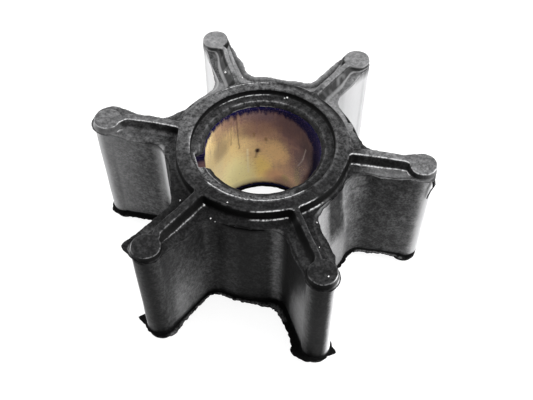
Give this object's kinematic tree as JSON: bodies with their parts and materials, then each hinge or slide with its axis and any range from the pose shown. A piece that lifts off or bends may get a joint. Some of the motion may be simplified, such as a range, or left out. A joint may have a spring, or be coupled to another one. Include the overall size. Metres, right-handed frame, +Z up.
{
  "type": "rubber pump impeller",
  "caption": "Flexible rubber vane impeller for a water pump: hub with straight radial vanes, raised ring, ribs and tip discs on both ends, and a bonded keyed metal bush.",
  "frame": {"origin": "on the shaft axis, at the face of the lower ring that the part stands on", "axes": "+Z up along the shaft axis; +X along the first vane"},
  "size_m": [0.0554, 0.0486, 0.0235],
  "materials": {
    "rubber": "moulded nitrile rubber, charcoal black, satin and lightly worn, with ragged moulding flash",
    "brass": "turned brass, used: golden with mauve and blue tarnish at its rims, thin stains and scratches"
  },
  "bodies": {
    "root": {"rubber_body": "rubber", "metal_bush": "brass"}
  },
  "joints": []
}
